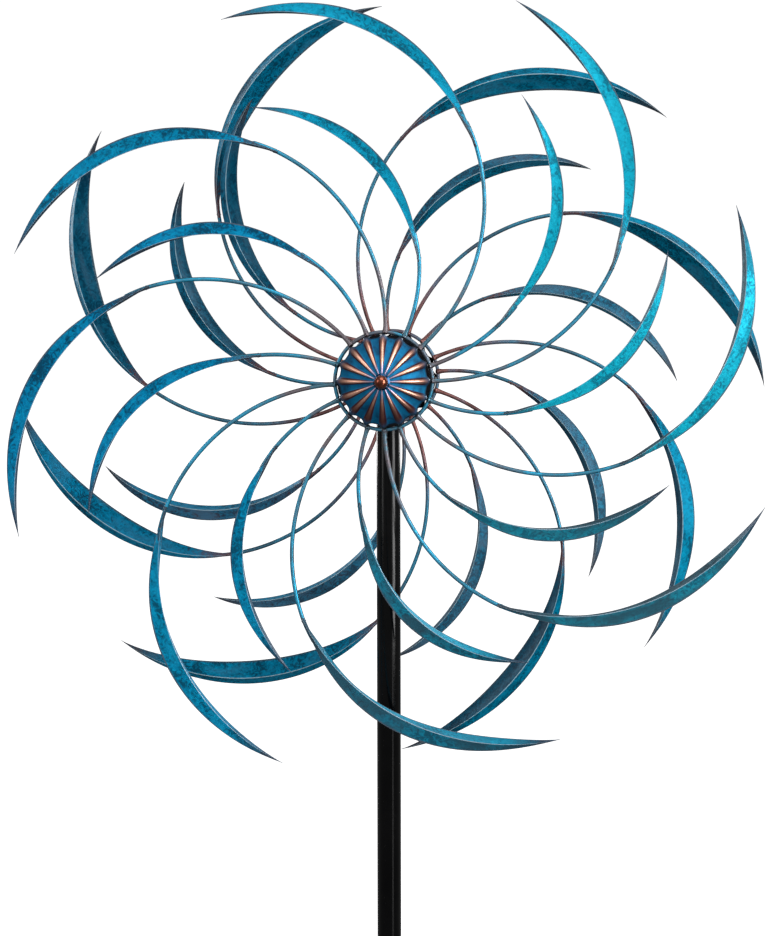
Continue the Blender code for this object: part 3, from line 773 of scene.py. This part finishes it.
def painted_shade_and_patina_of(ring, middle):
    """How much painted shade a blade's inner leg takes, and how far its outer leg is dulled, from
    where its middle is.

    Inside the fold the low blades take no painted shade, on the rear wheel only on the left, and
    that wheel's top blades and those above the hub on the right take a lighter one. Outside it
    the front wheel's low right blades are dulled and the rear wheel's short ones browned, partly
    patina and partly painted shade.
    """
    on_right = middle.x > 0
    drop = HUB.z - middle.z
    if ring["wheel"] == "front":
        aged_and_shaded = middle.x > FRONT_PATINA_AND_SHADE_RIGHT_OF and drop > FRONT_PATINA_AND_SHADE_BELOW
        return float(drop < FRONT_UNSHADED_BELOW), float(aged_and_shaded)
    if drop < (0 if on_right else REAR_LIGHT_SHADE_BELOW):
        shaded = LIGHT_PAINTED_SHADE
    else:
        shaded = DEEP_SHADE if on_right or drop < REAR_UNSHADED_BELOW else 0
    if ring["arm"] is LONG:
        return shaded, 0
    return shaded, SHORT_PATINA_AND_SHADE if on_right or drop > 0 else SHORT_SLIGHT_PATINA_AND_SHADE


def make_blades(name, ring):
    front = ring["wheel"] == "front"
    for index in range(len(ring["leave"])):
        blade = Builder()
        blade.loft([blade_section(ring, index, step / BLADE_STEPS) for step in range(BLADE_STEPS + 1)])
        node = f"{name}_blade_{index + 1}"
        material = FRONT_BLADE if front else REAR_BLADE
        obj = blade.piece(node, material, ring["wheel"] + "_wheel", "sheet")
        # The brushed tint runs from deep blue at the wheel's left to a lighter cyan at its right,
        # partly painted light from that side.
        middle, _ = arm_frame(ring, index, ring["arm"]["length"] - ring["arm"]["blade"] / 2)
        side = 0.5 + 0.5 * middle.x / (ring["arm"]["length"] * 0.6) + rng.uniform(-0.08, 0.08)
        tint_and_painted_light = min(max(side, 0), 1)
        layer = obj.data.attributes.new("tint_and_painted_light", "FLOAT_VECTOR", "POINT")
        layer.data.foreach_set("vector", [tint_and_painted_light, *painted_shade_and_patina_of(ring, middle)] * len(obj.data.vertices))


def wire_section(centre, across, radius, along):
    """A ring of points round a wire, in the plane of `across` and the axle."""
    return [
        (centre + across * x + FORWARD * y, (y / radius, along, 0), tuple(centre))
        for x, y in ring_of(radius, WIRE_SIDES)
    ]


def add_arm(frame_builder, ring, index):
    """One arm wire, flared into its weld at the hoop and rounded off under its blade."""
    arm = ring["arm"]
    to_root = arm["length"] - arm["blade"]
    wire_length = to_root + BLADE_LAP
    rings = []
    for step in range(ARM_STEPS + 1):
        distance = wire_length * (step / ARM_STEPS) ** 1.15  # closer together at the hoop
        centre, convex = arm_frame(ring, index, distance)
        flare = 1 + FLARE * math.exp(-distance / FLARE_LENGTH)
        close = min((wire_length - distance) / ARM_WIRE, 1)
        radius = ARM_WIRE * flare * math.sqrt(max(1 - (1 - close) ** 2, 0.02))
        rings.append(wire_section(centre, convex, radius, distance / to_root))
    frame_builder.loft(rings)
    start, _ = arm_frame(ring, index, WELD_OFFSET)
    frame_builder.bead(start, ARM_WELD)
    seam, _ = arm_frame(ring, index, to_root + BLADE_WELD_PLACE)
    frame_builder.bead(seam - FORWARD * ARM_WIRE * 0.2, BLADE_WELD, share=(0, 0.05, 0))


def make_wire_frame(wheel):
    """The hoop with its sixteen arms and their welds."""
    builder = Builder()
    centre = HUB - WHEEL_SIDE[wheel] * HOOP_OFFSET * FORWARD
    rings = []
    for x, z in ring_of(1.0, HOOP_STEPS):
        outwards = Vector((x, 0, z))
        middle = centre + outwards * HOOP_RADIUS
        rings.append(wire_section(middle, outwards, HOOP_WIRE, HOOP_SHARE))
    builder.loft(rings, closed=True)
    for ring in RINGS.values():
        if ring["wheel"] == wheel:
            for index in range(len(ring["leave"])):
                add_arm(builder, ring, index)
    material = FRONT_WIRE if wheel == "front" else REAR_WIRE
    builder.piece(f"{wheel}_wire_frame", material, f"{wheel}_wheel")


# ---------------------------------------------------------------- hub


def axle_axes(wheel):
    """Across, up and outwards along the axle, for a wheel's hub pieces."""
    outwards = -WHEEL_SIDE[wheel] * FORWARD
    return UP.cross(outwards), UP, outwards


def make_dome(wheel):
    """A thin cap with sixteen raised flutes and a scalloped rim, open on its inner side."""
    builder = Builder()
    across, up, outwards = axle_axes(wheel)
    curve = (DOME_RADIUS**2 + DOME_HEIGHT**2) / (2 * DOME_HEIGHT)
    hole = THREAD_RADIUS + GAP
    reach = DOME_RADIUS - DOME_SCALLOP - hole
    columns_per_flute, rows = 16, 30
    rings = []
    for column in range(columns_per_flute * DOME_FLUTES):
        phase = column / columns_per_flute % 1
        crest = 0.5 + 0.5 * math.cos(math.tau * phase)
        swell = 2 * crest**2.2 - 1
        angle = math.tau * column / (columns_per_flute * DOME_FLUTES)
        way = across * math.cos(angle) + up * math.sin(angle)
        section = []
        for back in (0, 1):
            for step in range(rows + 1):
                share = step / rows if back == 0 else 1 - step / rows
                radius = hole + reach * share
                sag = math.sqrt(curve**2 - radius**2) - curve
                height = DOME_TOP + sag + DOME_CREST * share**0.8 * swell - DOME_SHEET * back
                radius += DOME_SCALLOP * share**3 * swell
                at = HUB + way * radius + outwards * height
                section.append((at, (share, crest, back), tuple(at)))
        rings.append(section)
    builder.loft(rings, closed=True)
    builder.piece(f"{wheel}_dome", DOME_METAL, "stand")


def make_ball_nut(wheel):
    builder = Builder()
    base = DOME_TOP + GAP
    ball_height = base + NUT_COLLAR_HEIGHT + NUT_BALL_RADIUS
    profile = [
        (0, AXLE_END + GAP),
        (THREAD_RADIUS + GAP, AXLE_END + GAP),
        (THREAD_RADIUS + GAP, base),
        (NUT_COLLAR_RADIUS, base),
        (NUT_COLLAR_RADIUS, base + NUT_COLLAR_HEIGHT),
    ]
    for degrees in range(-52, 90, 7):
        angle = math.radians(degrees)
        height = ball_height + NUT_BALL_RADIUS * math.sin(angle)
        profile.append((NUT_BALL_RADIUS * math.cos(angle), height))
    profile.append((0, ball_height + NUT_BALL_RADIUS))
    builder.lathe(profile, HUB, axle_axes(wheel)[2])
    builder.piece(f"{wheel}_ball_nut", NUT_METAL, "stand")


def make_hub_plate(wheel):
    """Bearing housing with its flange, whose tabs reach the hoop."""
    builder = Builder()
    across, up, outwards = axle_axes(wheel)
    bore = BEARING_RADIUS + GAP
    lip = RACE_START + RACE_WIDTH + GAP
    low, high = HOOP_OFFSET - PLATE_SHEET / 2, HOOP_OFFSET + PLATE_SHEET / 2
    profile = [
        (bore, RACE_START - GAP),
        (HOUSING_RADIUS, RACE_START - GAP),
        (HOUSING_RADIUS, HOUSING_END),
        (bore, HOUSING_END),
        (bore, lip + LIP_WIDTH),
        (OUTER_RACE, lip + LIP_WIDTH),
        (OUTER_RACE, lip),
        (bore, lip),
    ]
    builder.lathe(profile, HUB, outwards)
    tab_reach = HOOP_RADIUS - HOOP_WIRE - GAP
    inner_radius = HOUSING_RADIUS - GAP
    half_gap = math.pi / TAB_COUNT
    rings = []
    for i in range(PLATE_SIDES):
        angle = math.tau * i / PLATE_SIDES
        off_tab = abs((angle - TAB_HALF + half_gap) % (2 * half_gap) - half_gap)
        rise = min(max((TAB_HALF * 1.15 - off_tab) / TAB_SLOPE, 0), 1)
        radius = PLATE_RADIUS + (tab_reach - PLATE_RADIUS) * rise
        way = across * math.cos(angle) + up * math.sin(angle)
        corners = (
            (inner_radius, low),
            (radius - PLATE_EASE, low),
            (radius, low + PLATE_EASE),
            (radius, high - PLATE_EASE),
            (radius - PLATE_EASE, high),
            (inner_radius, high),
        )
        rings.append([(HUB + way * r + outwards * h, (0, 0.1, 0), (0, 0, 0)) for r, h in corners])
    builder.loft(rings, closed=True)
    builder.piece(f"{wheel}_hub_plate", PLATE_METAL, f"{wheel}_wheel")


def race_profile(wall, track):
    """A bearing race's outline, with the groove that the balls run in."""
    middle = RACE_START + RACE_WIDTH / 2
    groove = BALL_RADIUS + GAP
    facing = 1 if track > BALL_PITCH else -1
    reach = math.acos(abs(track - BALL_PITCH) / groove)
    profile = [(wall, RACE_START), (track, RACE_START)]
    for step in range(-6, 7):
        angle = reach * step / 6
        radius = BALL_PITCH + facing * groove * math.cos(angle)
        profile.append((radius, middle + groove * math.sin(angle)))
    return profile + [(track, RACE_START + RACE_WIDTH), (wall, RACE_START + RACE_WIDTH)]


def make_bearing(wheel):
    outwards = axle_axes(wheel)[2]
    for name, wall, track, body in (
        ("outer_race", BEARING_RADIUS, OUTER_RACE, f"{wheel}_wheel"),
        ("inner_race", AXLE_BORE, INNER_RACE, "stand"),
    ):
        race = Builder()
        race.lathe(race_profile(wall, track), HUB, outwards)
        race.piece(f"{wheel}_{name}", BEARING_STEEL, body)
    cage = Builder()
    middle = RACE_START + RACE_WIDTH / 2
    ends = (middle - CAGE_HALF, middle + CAGE_HALF)
    cage.lathe(tube(BALL_PITCH - CAGE_HALF, BALL_PITCH + CAGE_HALF, *ends), HUB, outwards)
    across, up, _ = axle_axes(wheel)
    for x, y in ring_of(BALL_PITCH, BALL_COUNT):
        place = Matrix.Translation(HUB + across * x + up * y + outwards * middle)
        bmesh.ops.create_icosphere(cage.bm, subdivisions=3, radius=BALL_RADIUS, matrix=place)
    cage.piece(f"{wheel}_ball_cage", BEARING_STEEL, f"{wheel}_bearing_cage")


def make_spacers(wheel):
    race_end = RACE_START + RACE_WIDTH
    dome_seat = DOME_TOP - DOME_SHEET - GAP - DOME_SAG
    for name, low, high in (
        ("spacer", TEE_HALF + GAP, RACE_START - GAP),
        ("standoff", race_end + GAP, dome_seat),
    ):
        builder = Builder()
        builder.lathe(tube(AXLE_BORE, SPACER_RADIUS, low, high), HUB, axle_axes(wheel)[2])
        builder.piece(f"{wheel}_{name}", ZINC, "stand")


# ---------------------------------------------------------------- head, pole and stake


def weld_section(middle, outwards, size, lumps):
    """A ring of points round a bead of weld, as thick as the lumps there make it."""
    swell = size * (1 + 0.25 * noise.noise(middle * lumps))
    return [middle + outwards * a + UP * b for a, b in ring_of(swell, BEAD_SIDES)]


def make_head_tee():
    """A sleeve across the top of the pole on a plug, with the weld between them."""
    builder = Builder()
    rim = POLE_TOP - HUB.z
    plug = [
        (0, rim - PLUG_LENGTH),
        (SPIGOT_RADIUS, rim - PLUG_LENGTH),
        (SPIGOT_RADIUS, rim + GAP),
        (POLE_RADIUS, rim + GAP),
        (POLE_RADIUS, 0),
        (0, 0),
    ]
    builder.lathe(plug, HUB, UP)
    sleeve = tube(AXLE_BORE, TEE_RADIUS, -TEE_HALF, TEE_HALF)
    builder.lathe(sleeve, HUB, -FORWARD, rounding=0.0006)
    rings = []
    for x, y in ring_of(POLE_RADIUS, 96):
        centre = HUB + Vector((x, y, -math.sqrt(TEE_RADIUS**2 - x**2)))
        rings.append(weld_section(centre, Vector((x, y, 0)).normalized(), HEAD_WELD, 700))
    builder.loft(rings, closed=True)
    builder.piece("head_tee", BLACK_COAT, "stand")


def make_axle():
    builder = Builder()
    profile = [(0, -AXLE_END)]
    shoulder = AXLE_END - THREAD_LENGTH
    # A fine thread at each end, from the shoulder outwards.
    thread = []
    for turn in range(int(THREAD_LENGTH / THREAD_PITCH)):
        start = shoulder + turn * THREAD_PITCH
        thread.append((THREAD_RADIUS - THREAD_DEPTH, start + 0.1 * THREAD_PITCH))
        thread.append((THREAD_RADIUS, start + 0.6 * THREAD_PITCH))
    for radius, height in reversed(thread):
        profile.append((radius, -height))
    profile += [(AXLE_RADIUS, -shoulder), (AXLE_RADIUS, shoulder)]
    profile += thread + [(0, AXLE_END)]
    builder.lathe(profile, HUB, FORWARD, rounding=0.0001)
    builder.piece("axle", ZINC, "stand")


def make_pole(name, low, high, has_spigot):
    """A tube, whose top may be drawn down to fit inside the next one."""
    profile = [(POLE_BORE, low), (POLE_RADIUS, low), (POLE_RADIUS, high)]
    if has_spigot:
        profile += [
            (SPIGOT_RADIUS, high + SWAGE),
            (SPIGOT_RADIUS, high + SPIGOT_LENGTH),
            (SPIGOT_BORE, high + SPIGOT_LENGTH),
            (SPIGOT_BORE, high - 2 * SWAGE),
            (POLE_BORE, high - 4 * SWAGE),
        ]
    else:
        profile.append((POLE_BORE, high))
    builder = Builder()
    builder.lathe(profile, FOOT, UP, sides=96, rounding=0.0005)
    builder.piece(name, BLACK_COAT, "stand")


def add_weld_ring(builder, centre, radius, size):
    """A lumpy bead round an upright rod where it meets a plate."""
    rings = []
    for x, y in ring_of(1, 72):
        outwards = Vector((x, y, 0))
        rings.append(weld_section(centre + outwards * radius, outwards, size, 500))
    builder.loft(rings, closed=True)


def make_ground_stake():
    """The cross-shaped step plate and its four pointed prongs, with their welds."""
    builder = Builder()
    half = PLATE_WIDTH / 2
    corners = (
        (half, -half),
        (PLATE_ARM - PLATE_CHAMFER, -half),
        (PLATE_ARM, PLATE_CHAMFER - half),
        (PLATE_ARM, half - PLATE_CHAMFER),
        (PLATE_ARM - PLATE_CHAMFER, half),
    )
    outline = []
    for quarter in range(4):
        turn = Matrix.Rotation(math.radians(90 * quarter), 2)
        outline += [turn @ Vector(corner) for corner in corners]
    ease = STAKE_PLATE_EASE
    rows = []
    for inset, height in ((ease, 0), (0, ease), (0, PLATE_THICKNESS - ease), (ease, PLATE_THICKNESS)):
        shrink = 1 - inset / PLATE_ARM
        rows.append([Vector((x * shrink, y * shrink, height)) for x, y in outline])
    builder.loft(rows)
    prong = [
        (0, -PRONG_LENGTH),
        (PRONG_RADIUS, PRONG_POINT - PRONG_LENGTH),
        (PRONG_RADIUS, PLATE_THICKNESS / 2),
        (0, PLATE_THICKNESS / 2),
    ]
    for x, y in ring_of(PRONG_PITCH, 4):
        builder.lathe(prong, Vector((x, y, 0)), UP, sides=32, rounding=0.0008)
        add_weld_ring(builder, Vector((x, y, -WELD_OFFSET)), PRONG_RADIUS, PRONG_WELD)
    builder.piece("ground_stake", BLACK_COAT, "stand")


def make_pole_socket():
    builder = Builder()
    low = PLATE_THICKNESS + GAP
    wall = tube(SOCKET_BORE, SOCKET_RADIUS, low, SOCKET_TOP)
    builder.lathe(wall, FOOT, UP, sides=96, rounding=0.0006)
    add_weld_ring(builder, Vector((0, 0, low + WELD_OFFSET)), SOCKET_RADIUS, SOCKET_WELD)
    # A boss that the thumb screw is tapped through.
    screw = Vector((0, 0, SOCKET_SCREW_HEIGHT))
    ends = (SOCKET_RADIUS - 0.001, SOCKET_RADIUS + SCREW_BOSS_HEIGHT)
    boss = tube(THUMB_SCREW_RADIUS + GAP, THUMB_SCREW_RADIUS * 2, *ends)
    builder.lathe(boss, screw, FORWARD, sides=48)
    builder.piece("pole_socket", BLACK_COAT, "stand")


def make_thumb_screw():
    """A screw with a two-winged head that clamps the pole in its socket."""
    builder = Builder()
    centre = Vector((0, 0, SOCKET_SCREW_HEIGHT))
    head = SOCKET_RADIUS + SCREW_HEAD_GAP
    profile = [
        (0, POLE_RADIUS + GAP),
        (THUMB_SCREW_RADIUS, POLE_RADIUS + GAP),
        (THUMB_SCREW_RADIUS, head),
        (SCREW_HEAD_RADIUS, head),
        (SCREW_HEAD_RADIUS * 0.8, head + SCREW_HEAD_HEIGHT),
        (0, head + SCREW_HEAD_HEIGHT),
    ]
    builder.lathe(profile, centre, FORWARD, sides=48, rounding=0.0006)
    right = Vector((1, 0, 0))
    # Each wing is a rounded tab that starts halfway up the head and slopes outwards from it.
    low = head + SCREW_HEAD_HEIGHT / 2
    outline = []
    for x, y in ring_of(1, WING_STEPS):
        along = SCREW_HEAD_HEIGHT * (1 + y)
        across = SCREW_HEAD_RADIUS * (0.945 + 0.675 * x) + WING_SLOPE * along
        outline.append(Vector((across, low + along)))
    middle = sum(outline, Vector((0, 0))) / len(outline)
    for side in (-1, 1):
        rows = []
        for ease, height in ((0.85, -1), (1, -0.6), (1, 0.6), (0.85, 1)):
            level = centre + UP * height * WING_SHEET / 2
            places = [middle + (at - middle) * ease for at in outline]
            rows.append([level + right * side * at.x + FORWARD * at.y for at in places])
        builder.loft(rows)
    builder.piece("thumb_screw", ZINC, "stand")


# ---------------------------------------------------------------- studio


FLOOR_HALF = 60
FLOOR_DROP = 0.001  # below the prongs' tips
FLOOR_GLOW = 0.85
BACKDROP = 1.05  # strength of the white that the camera sees
# The surround's strength, from straight down (-1) to straight up (1)
SURROUND = {"From Min": -0.5, "From Max": 1.0, "To Min": 0.14, "To Max": 0.46}

# Each softbox's azimuth (0 in front, 90 on the right), distance, height, width, length and watts
SOFTBOXES = {
    "key_softbox": (56, 2.3, 1.85, 0.9, 1.8, 54),
    "strip_softbox": (42, 2.3, 0.7, 0.3, 2.2, 4),
    "left_softbox": (-55, 2.4, 2.2, 0.7, 1.6, 9),
    "low_left_softbox": (-45, 2.2, 0.3, 0.8, 0.8, 22),
    "top_softbox": (20, 1.2, 3.6, 1.8, 1.8, 26),
    "back_right_softbox": (140, 2.6, 2.3, 0.9, 1.8, 48),
    "back_left_softbox": (-140, 2.6, 2.2, 0.7, 1.8, 36),
}
MATT_SOFTBOX = "low_left_softbox"  # it fills the shadows and isn't reflected

CAMERA_PLACE = (0.101, -1.565, 1.473)
CAMERA_LENS = 75.6
CAMERA_TILT = 1.75  # degrees down; the rest of the picture's vertical offset is shift
CAMERA_SHIFT = (-0.1395, -0.1026)
SENSOR_HEIGHT = 36


def make_floor():
    """A wide white floor at the prong tips, bright enough to meet the white surround."""
    bm = bmesh.new()
    bmesh.ops.create_grid(bm, x_segments=1, y_segments=1, size=FLOOR_HALF)
    bmesh.ops.translate(bm, verts=bm.verts, vec=(0, 0, cad_low.z - FLOOR_DROP))
    mesh = bpy.data.meshes.new("floor")
    bm.to_mesh(mesh)
    bm.free()
    white = (1, 1, 1, 1)
    glow = {"Emission_Color": white, "Emission_Strength": FLOOR_GLOW}
    finish = Finish("studio_floor", 0.0, Specular_IOR_Level=0.0, **glow)
    grain = finish.noise(finish.position(), 3)
    colour = finish.ramp(grain, (0.3, srgb(0.95, 0.95, 0.95)), (0.7, srgb(0.97, 0.97, 0.97)))
    mesh.materials.append(finish.done(colour, 0.9))
    floor = bpy.data.objects.new("floor", mesh)
    floor.visible_diffuse = False
    floor.visible_glossy = False
    bpy.context.scene.collection.objects.link(floor)


def make_world():
    """White to the camera, and a softer surround for the light that falls on the object."""
    world = bpy.data.worlds.new("studio")
    world.use_nodes = True
    tree = world.node_tree
    background = tree.nodes["Background"]
    background.inputs["Color"].default_value = (1, 1, 1, 1)
    seen, direction, parts, glow, strength = (
        tree.nodes.new("ShaderNode" + kind)
        for kind in ("LightPath", "TexCoord", "SeparateXYZ", "MapRange", "MapRange")
    )
    for socket, value in SURROUND.items():
        glow.inputs[socket].default_value = value
    strength.inputs["To Max"].default_value = BACKDROP
    for output, socket in (
        (direction.outputs["Generated"], parts.inputs[0]),
        (parts.outputs["Z"], glow.inputs["Value"]),
        (glow.outputs[0], strength.inputs["To Min"]),
        (seen.outputs["Is Camera Ray"], strength.inputs["Value"]),
        (strength.outputs[0], background.inputs["Strength"]),
    ):
        tree.links.new(output, socket)
    bpy.context.scene.world = world


def make_softbox(name, azimuth, distance, height, width, length, watts):
    """An area light, turned to face the hub."""
    light = bpy.data.lights.new(name, "AREA")
    light.shape = "RECTANGLE"
    light.size, light.size_y = width, length
    light.energy = watts
    obj = bpy.data.objects.new(name, light)
    angle = math.radians(azimuth)
    obj.location = (distance * math.sin(angle), -distance * math.cos(angle), height)
    obj.rotation_euler = (HUB - obj.location).to_track_quat("-Z", "Y").to_euler()
    obj.visible_camera = False
    obj.visible_glossy = name != MATT_SOFTBOX
    bpy.context.scene.collection.objects.link(obj)


def make_camera():
    """The photograph's viewpoint: square on to the wheels, right of the hub and a little above."""
    data = bpy.data.cameras.new("camera")
    data.sensor_fit = "VERTICAL"
    data.sensor_height = SENSOR_HEIGHT
    data.lens = CAMERA_LENS
    data.shift_x, data.shift_y = CAMERA_SHIFT
    camera = bpy.data.objects.new("camera", data)
    camera.location = CAMERA_PLACE
    camera.rotation_euler = (math.radians(90 - CAMERA_TILT), 0, 0)
    bpy.context.scene.collection.objects.link(camera)
    bpy.context.scene.camera = camera


def main():
    for name in ("Cube", "Light", "Camera"):
        if name in bpy.data.objects:
            bpy.data.objects.remove(bpy.data.objects[name])
    for name, ring in RINGS.items():
        make_blades(name, ring)
    for wheel in WHEEL_SIDE:
        make_wire_frame(wheel)
        make_dome(wheel)
        make_ball_nut(wheel)
        make_hub_plate(wheel)
        make_bearing(wheel)
        make_spacers(wheel)
    make_axle()
    make_head_tee()
    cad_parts["head_set_screw"].data.materials[0] = ZINC
    first_joint, second_joint = POLE_JOINTS
    make_pole("lower_pole", PLATE_THICKNESS + GAP, first_joint, True)
    make_pole("middle_pole", first_joint + SWAGE + GAP, second_joint, True)
    make_pole("upper_pole", second_joint + SWAGE + GAP, POLE_TOP, False)
    make_ground_stake()
    make_pole_socket()
    make_thumb_screw()
    make_floor()
    make_world()
    for name, settings in SOFTBOXES.items():
        make_softbox(name, *settings)
    make_camera()
    bpy.context.scene.view_settings.view_transform = "Standard"


main()
